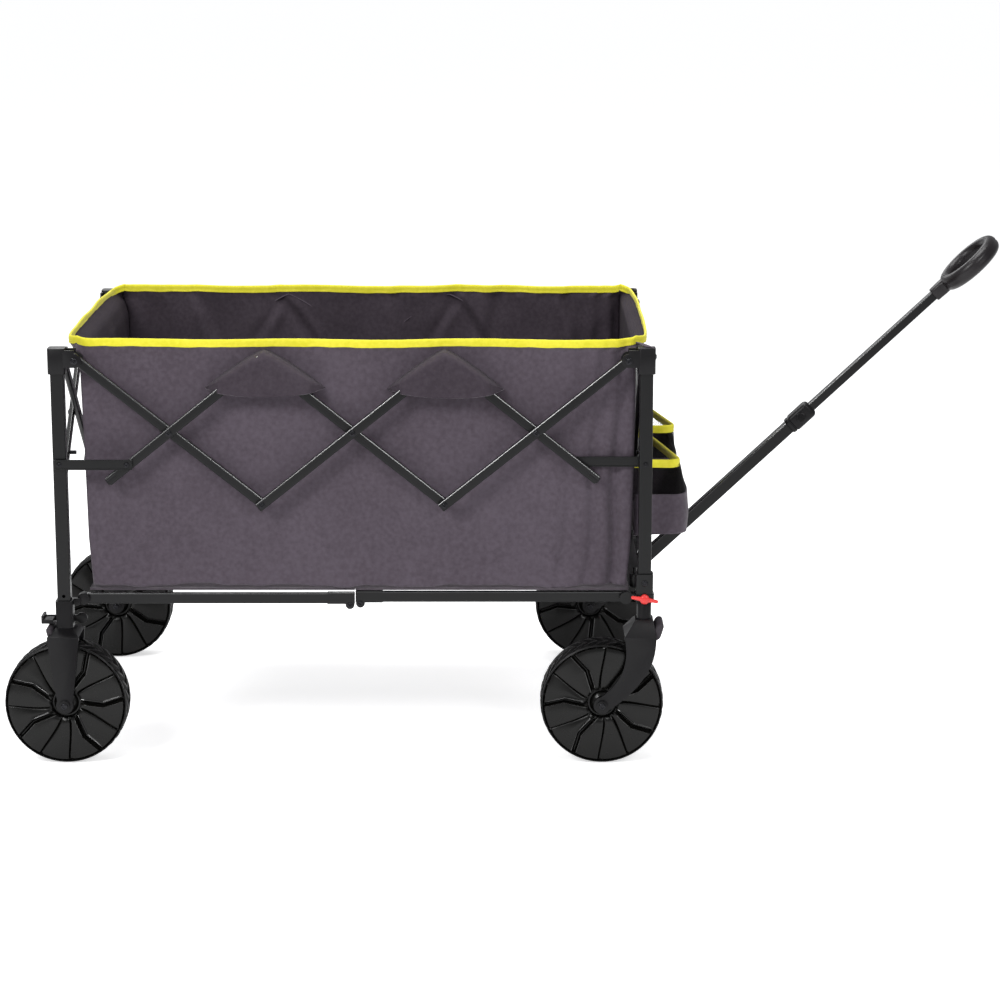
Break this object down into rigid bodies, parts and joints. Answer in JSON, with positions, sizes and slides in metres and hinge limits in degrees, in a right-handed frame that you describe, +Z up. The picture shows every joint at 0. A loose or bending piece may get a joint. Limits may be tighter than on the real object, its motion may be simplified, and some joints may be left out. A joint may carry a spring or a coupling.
{
  "type": "folding wagon with pull handle",
  "caption": "Folding four-wheel wagon with a fabric bag on a scissor frame, swivel front wheels, a telescoping pull handle and front mesh pockets.",
  "frame": {"origin": "on the ground, in the middle of the plan outline of the whole wagon with its handle raised as drawn", "axes": "+X forward towards the pull handle, +Y to the left side of the wagon, +Z up"},
  "size_m": [1.4696, 0.656, 0.7264],
  "materials": {
    "frame_powder": "satin powder coat",
    "black_plastic": "matt moulded",
    "wheel_plastic": "satin moulded",
    "red_plastic": "semi gloss",
    "bag_fabric": "woven polyester"
  },
  "bodies": {
    "rear_near_corner": {"post_rear_near": "frame_powder", "cap_rear_near": "black_plastic", "rear_fork_near": "black_plastic", "bag_near_and_rear": "bag_fabric"},
    "rear_far_corner": {"post_rear_far": "frame_powder", "cap_rear_far": "black_plastic", "rear_fork_far": "black_plastic", "bag_far_side": "bag_fabric"},
    "front_near_corner": {"post_front_near": "frame_powder", "cap_front_near": "black_plastic", "bag_front_end": "bag_fabric"},
    "front_far_corner": {"post_front_far": "frame_powder", "cap_front_far": "black_plastic"},
    "caster_near": {"caster_fork_near": "black_plastic"},
    "caster_far": {"caster_fork_far": "black_plastic"},
    "handle_lower": {"handle_lower_tube": "frame_powder"},
    "handle_upper": {"handle_upper_tube": "frame_powder", "handle_grip": "black_plastic"},
    "rail_rear_near": {"rail_rear_near": "frame_powder", "bag_floor_rear": "bag_fabric"},
    "rail_front_near": {"rail_front_near": "frame_powder", "bag_floor_front": "bag_fabric"},
    "wheel_rear_near": {"wheel_rear_near": "wheel_plastic"},
    "wheel_rear_far": {"wheel_rear_far": "wheel_plastic"},
    "wheel_front_near": {"wheel_front_near": "wheel_plastic"},
    "wheel_front_far": {"wheel_front_far": "wheel_plastic"},
    "near_bar_down_1": {"near_bar_down_1": "frame_powder"},
    "near_bar_up_1": {"near_bar_up_1": "frame_powder"},
    "near_bar_down_2": {"near_bar_down_2": "frame_powder"},
    "near_bar_up_2": {"near_bar_up_2": "frame_powder"},
    "near_bar_down_3": {"near_bar_down_3": "frame_powder"},
    "near_bar_up_3": {"near_bar_up_3": "frame_powder"},
    "far_bar_down_1": {"far_bar_down_1": "frame_powder"},
    "far_bar_up_1": {"far_bar_up_1": "frame_powder"},
    "far_bar_down_2": {"far_bar_down_2": "frame_powder"},
    "far_bar_up_2": {"far_bar_up_2": "frame_powder"},
    "far_bar_down_3": {"far_bar_down_3": "frame_powder"},
    "far_bar_up_3": {"far_bar_up_3": "frame_powder"},
    "rear_bar_down_1": {"rear_bar_down_1": "frame_powder"},
    "rear_bar_up_1": {"rear_bar_up_1": "frame_powder"},
    "rear_bar_down_2": {"rear_bar_down_2": "frame_powder"},
    "rear_bar_up_2": {"rear_bar_up_2": "frame_powder"},
    "front_bar_down_1": {"front_bar_down_1": "frame_powder"},
    "front_bar_up_1": {"front_bar_up_1": "frame_powder"},
    "front_bar_down_2": {"front_bar_down_2": "frame_powder"},
    "front_bar_up_2": {"front_bar_up_2": "frame_powder"},
    "link_rear_near": {"link_rear_near": "frame_powder"},
    "link_front_near": {"link_front_near": "frame_powder"},
    "link_rear_far": {"link_rear_far": "frame_powder"},
    "link_front_far": {"link_front_far": "frame_powder"},
    "rail_rear_far": {"rail_rear_far": "frame_powder"},
    "rail_front_far": {"rail_front_far": "frame_powder"},
    "cross_rail_near": {"cross_rail_near": "frame_powder"},
    "cross_rail_far": {"cross_rail_far": "frame_powder"},
    "handle_hub": {"handle_hub": "black_plastic"},
    "handle_button": {"handle_button": "black_plastic"},
    "swivel_lock_near": {"swivel_lock_near": "red_plastic"},
    "swivel_lock_far": {"swivel_lock_far": "red_plastic"},
    "brake_pedal_near": {"brake_pedal_near": "black_plastic"},
    "brake_pedal_far": {"brake_pedal_far": "black_plastic"}
  },
  "joints": [
    {"name": "fold", "type": "hinge", "parent": "rear_near_corner", "child": "near_bar_down_1", "pos_m": [-0.61882, -0.2895, 0.5945], "axis": [0, 1, 0], "range_deg": [0, 37], "deforming": ["bag_near_and_rear", "bag_far_side", "bag_front_end", "bag_floor_rear", "bag_floor_front"]},
    {"name": "near_x_1", "type": "hinge", "parent": "near_bar_down_1", "child": "near_bar_up_1", "pos_m": [-0.48698, -0.2895, 0.48875], "axis": [0, 1, 0], "range_deg": [-74.08, 0]},
    {"name": "near_low_1", "type": "hinge", "parent": "near_bar_down_1", "child": "near_bar_up_2", "pos_m": [-0.35515, -0.2895, 0.383], "axis": [0, 1, 0], "range_deg": [-74.08, 0]},
    {"name": "near_x_2", "type": "hinge", "parent": "near_bar_up_2", "child": "near_bar_down_2", "pos_m": [-0.22332, -0.2895, 0.48875], "axis": [0, 1, 0], "range_deg": [0, 74.08]},
    {"name": "near_top_2", "type": "hinge", "parent": "near_bar_up_2", "child": "near_bar_down_3", "pos_m": [-0.09148, -0.2895, 0.5945], "axis": [0, 1, 0], "range_deg": [0, 74.08]},
    {"name": "near_x_3", "type": "hinge", "parent": "near_bar_down_3", "child": "near_bar_up_3", "pos_m": [0.04035, -0.2895, 0.48875], "axis": [0, 1, 0], "range_deg": [-74.08, 0]},
    {"name": "near_end_pivot", "type": "hinge", "parent": "near_bar_up_3", "child": "front_near_corner", "pos_m": [0.17219, -0.2895, 0.5945], "axis": [0, 1, 0], "range_deg": [0, 37.05]},
    {"name": "rear_cap_pivot", "type": "hinge", "parent": "rear_near_corner", "child": "rear_bar_down_1", "pos_m": [-0.64482, -0.2635, 0.5945], "axis": [-1, 0, 0], "range_deg": [0, 37.05]},
    {"name": "rear_x_1", "type": "hinge", "parent": "rear_bar_down_1", "child": "rear_bar_up_1", "pos_m": [-0.64482, -0.13175, 0.48875], "axis": [-1, 0, 0], "range_deg": [-74.08, 0]},
    {"name": "rear_low_1", "type": "hinge", "parent": "rear_bar_down_1", "child": "rear_bar_up_2", "pos_m": [-0.64482, 0, 0.383], "axis": [-1, 0, 0], "range_deg": [-74.08, 0]},
    {"name": "rear_x_2", "type": "hinge", "parent": "rear_bar_up_2", "child": "rear_bar_down_2", "pos_m": [-0.64482, 0.13175, 0.48875], "axis": [-1, 0, 0], "range_deg": [0, 74.08]},
    {"name": "rear_end_pivot", "type": "hinge", "parent": "rear_bar_up_2", "child": "rear_far_corner", "pos_m": [-0.64482, 0.2635, 0.5945], "axis": [-1, 0, 0], "range_deg": [0, 37.05]},
    {"name": "far_cap_pivot", "type": "hinge", "parent": "rear_far_corner", "child": "far_bar_down_1", "pos_m": [-0.61882, 0.2895, 0.5945], "axis": [0, 1, 0], "range_deg": [0, 37.05]},
    {"name": "far_x_1", "type": "hinge", "parent": "far_bar_down_1", "child": "far_bar_up_1", "pos_m": [-0.48698, 0.2895, 0.48875], "axis": [0, 1, 0], "range_deg": [-74.08, 0]},
    {"name": "far_low_1", "type": "hinge", "parent": "far_bar_down_1", "child": "far_bar_up_2", "pos_m": [-0.35515, 0.2895, 0.383], "axis": [0, 1, 0], "range_deg": [-74.08, 0]},
    {"name": "far_x_2", "type": "hinge", "parent": "far_bar_up_2", "child": "far_bar_down_2", "pos_m": [-0.22332, 0.2895, 0.48875], "axis": [0, 1, 0], "range_deg": [0, 74.08]},
    {"name": "far_top_2", "type": "hinge", "parent": "far_bar_up_2", "child": "far_bar_down_3", "pos_m": [-0.09148, 0.2895, 0.5945], "axis": [0, 1, 0], "range_deg": [0, 74.08]},
    {"name": "far_x_3", "type": "hinge", "parent": "far_bar_down_3", "child": "far_bar_up_3", "pos_m": [0.04035, 0.2895, 0.48875], "axis": [0, 1, 0], "range_deg": [-74.08, 0]},
    {"name": "far_end_pivot", "type": "hinge", "parent": "far_bar_up_3", "child": "front_far_corner", "pos_m": [0.17219, 0.2895, 0.5945], "axis": [0, 1, 0], "range_deg": [0, 37.05]},
    {"name": "front_cap_pivot", "type": "hinge", "parent": "front_near_corner", "child": "front_bar_down_1", "pos_m": [0.19819, -0.2635, 0.5945], "axis": [-1, 0, 0], "range_deg": [0, 37.05]},
    {"name": "front_x_1", "type": "hinge", "parent": "front_bar_down_1", "child": "front_bar_up_1", "pos_m": [0.19819, -0.13175, 0.48875], "axis": [-1, 0, 0], "range_deg": [-74.08, 0]},
    {"name": "front_low_1", "type": "hinge", "parent": "front_bar_down_1", "child": "front_bar_up_2", "pos_m": [0.19819, 0, 0.383], "axis": [-1, 0, 0], "range_deg": [-74.08, 0]},
    {"name": "front_x_2", "type": "hinge", "parent": "front_bar_up_2", "child": "front_bar_down_2", "pos_m": [0.19819, 0.13175, 0.48875], "axis": [-1, 0, 0], "range_deg": [0, 74.08]},
    {"name": "link_rear_near_pivot", "type": "hinge", "parent": "rear_near_corner", "child": "link_rear_near", "pos_m": [-0.64482, -0.2895, 0.4435], "axis": [0, 1, 0], "range_deg": [0, 61.35]},
    {"name": "link_front_near_pivot", "type": "hinge", "parent": "front_near_corner", "child": "link_front_near", "pos_m": [0.19819, -0.2895, 0.4435], "axis": [0, 1, 0], "range_deg": [-61.35, 0]},
    {"name": "rail_rear_near_pivot", "type": "hinge", "parent": "rear_near_corner", "child": "rail_rear_near", "pos_m": [-0.61882, -0.2895, 0.239], "axis": [0, 1, 0], "range_deg": [-71.67, 0]},
    {"name": "rail_front_near_pivot", "type": "hinge", "parent": "front_near_corner", "child": "rail_front_near", "pos_m": [0.17219, -0.2895, 0.239], "axis": [0, 1, 0], "range_deg": [0, 71.67]},
    {"name": "link_rear_far_pivot", "type": "hinge", "parent": "rear_far_corner", "child": "link_rear_far", "pos_m": [-0.64482, 0.2895, 0.4435], "axis": [0, 1, 0], "range_deg": [0, 61.35]},
    {"name": "link_front_far_pivot", "type": "hinge", "parent": "front_far_corner", "child": "link_front_far", "pos_m": [0.19819, 0.2895, 0.4435], "axis": [0, 1, 0], "range_deg": [-61.35, 0]},
    {"name": "rail_rear_far_pivot", "type": "hinge", "parent": "rear_far_corner", "child": "rail_rear_far", "pos_m": [-0.61882, 0.2895, 0.239], "axis": [0, 1, 0], "range_deg": [-71.67, 0]},
    {"name": "rail_front_far_pivot", "type": "hinge", "parent": "front_far_corner", "child": "rail_front_far", "pos_m": [0.17219, 0.2895, 0.239], "axis": [0, 1, 0], "range_deg": [0, 71.67]},
    {"name": "cross_rail_near_pivot", "type": "hinge", "parent": "front_near_corner", "child": "cross_rail_near", "pos_m": [0.18618, -0.2475, 0.266], "axis": [0, 0, 1], "range_deg": [-74.34, 0]},
    {"name": "cross_rail_far_pivot", "type": "hinge", "parent": "front_far_corner", "child": "cross_rail_far", "pos_m": [0.18618, 0.2475, 0.274], "axis": [0, 0, 1], "range_deg": [0, 74.34]},
    {"name": "hub_pivot", "type": "hinge", "parent": "cross_rail_near", "child": "handle_hub", "pos_m": [0.18618, 0, 0.264], "axis": [0, 0, 1], "range_deg": [0, 74.34]},
    {"name": "handle_pitch", "type": "hinge", "parent": "handle_hub", "child": "handle_lower", "pos_m": [0.20619, 0, 0.2277], "axis": [0, 1, 0], "range_deg": [-38, 58]},
    {"name": "handle_telescope", "type": "slide", "parent": "handle_lower", "child": "handle_upper", "axis": [0.7278, 0, 0.6858], "range_m": [-0.245, 0]},
    {"name": "handle_button_press", "type": "slide", "parent": "handle_lower", "child": "handle_button", "axis": [0, 1, 0], "range_m": [0, 0.0022], "stiffness_N_per_m": 400},
    {"name": "caster_near_swivel", "type": "hinge", "parent": "front_near_corner", "child": "caster_near", "pos_m": [0.19819, -0.2895, 0.225], "axis": [0, 0, 1], "continuous": true},
    {"name": "wheel_front_near_spin", "type": "hinge", "parent": "caster_near", "child": "wheel_front_near", "pos_m": [0.13719, -0.2895, 0.09], "axis": [0, 1, 0], "continuous": true},
    {"name": "wheel_rear_near_spin", "type": "hinge", "parent": "rear_near_corner", "child": "wheel_rear_near", "pos_m": [-0.64482, -0.2895, 0.09], "axis": [0, 1, 0], "continuous": true},
    {"name": "swivel_lock_near_turn", "type": "hinge", "parent": "front_near_corner", "child": "swivel_lock_near", "pos_m": [0.19819, -0.2895, 0.245], "axis": [0, 1, 0], "range_deg": [0, 80]},
    {"name": "brake_near_press", "type": "hinge", "parent": "rear_near_corner", "child": "brake_pedal_near", "pos_m": [-0.64482, -0.2895, 0.209], "axis": [0, 1, 0], "range_deg": [-8, 0], "stiffness_Nm_per_rad": 1.5},
    {"name": "caster_far_swivel", "type": "hinge", "parent": "front_far_corner", "child": "caster_far", "pos_m": [0.19819, 0.2895, 0.225], "axis": [0, 0, 1], "continuous": true},
    {"name": "wheel_front_far_spin", "type": "hinge", "parent": "caster_far", "child": "wheel_front_far", "pos_m": [0.13719, 0.2895, 0.09], "axis": [0, 1, 0], "continuous": true},
    {"name": "wheel_rear_far_spin", "type": "hinge", "parent": "rear_far_corner", "child": "wheel_rear_far", "pos_m": [-0.64482, 0.2895, 0.09], "axis": [0, 1, 0], "continuous": true},
    {"name": "swivel_lock_far_turn", "type": "hinge", "parent": "front_far_corner", "child": "swivel_lock_far", "pos_m": [0.19819, 0.2895, 0.245], "axis": [0, -1, 0], "range_deg": [0, 80]},
    {"name": "brake_far_press", "type": "hinge", "parent": "rear_far_corner", "child": "brake_pedal_far", "pos_m": [-0.64482, 0.2895, 0.209], "axis": [0, 1, 0], "range_deg": [-8, 0], "stiffness_Nm_per_rad": 1.5}
  ],
  "couplings": [
    {"joint": "near_x_1", "follows": "fold", "ratio": -2},
    {"joint": "near_low_1", "follows": "fold", "ratio": -2},
    {"joint": "near_x_2", "follows": "fold", "ratio": 2},
    {"joint": "near_top_2", "follows": "fold", "ratio": 2},
    {"joint": "near_x_3", "follows": "fold", "ratio": -2},
    {"joint": "near_end_pivot", "follows": "fold", "ratio": 1},
    {"joint": "rear_cap_pivot", "follows": "fold", "ratio": 1},
    {"joint": "rear_x_1", "follows": "fold", "ratio": -2},
    {"joint": "rear_low_1", "follows": "fold", "ratio": -2},
    {"joint": "rear_x_2", "follows": "fold", "ratio": 2},
    {"joint": "rear_end_pivot", "follows": "fold", "ratio": 1},
    {"joint": "far_cap_pivot", "follows": "fold", "ratio": 1},
    {"joint": "far_x_1", "follows": "fold", "ratio": -2},
    {"joint": "far_low_1", "follows": "fold", "ratio": -2},
    {"joint": "far_x_2", "follows": "fold", "ratio": 2},
    {"joint": "far_top_2", "follows": "fold", "ratio": 2},
    {"joint": "far_x_3", "follows": "fold", "ratio": -2},
    {"joint": "far_end_pivot", "follows": "fold", "ratio": 1},
    {"joint": "front_cap_pivot", "follows": "fold", "ratio": 1},
    {"joint": "front_x_1", "follows": "fold", "ratio": -2},
    {"joint": "front_low_1", "follows": "fold", "ratio": -2},
    {"joint": "front_x_2", "follows": "fold", "ratio": 2},
    {"joint": "link_rear_near_pivot", "follows": "fold", "ratio": 1.6563},
    {"joint": "link_front_near_pivot", "follows": "fold", "ratio": -1.6563},
    {"joint": "rail_rear_near_pivot", "follows": "fold", "ratio": -1.9347},
    {"joint": "rail_front_near_pivot", "follows": "fold", "ratio": 1.9347},
    {"joint": "link_rear_far_pivot", "follows": "fold", "ratio": 1.6563},
    {"joint": "link_front_far_pivot", "follows": "fold", "ratio": -1.6563},
    {"joint": "rail_rear_far_pivot", "follows": "fold", "ratio": -1.9347},
    {"joint": "rail_front_far_pivot", "follows": "fold", "ratio": 1.9347},
    {"joint": "cross_rail_near_pivot", "follows": "fold", "ratio": -2.0069},
    {"joint": "cross_rail_far_pivot", "follows": "fold", "ratio": 2.0069},
    {"joint": "hub_pivot", "follows": "fold", "ratio": 2.0069}
  ]
}
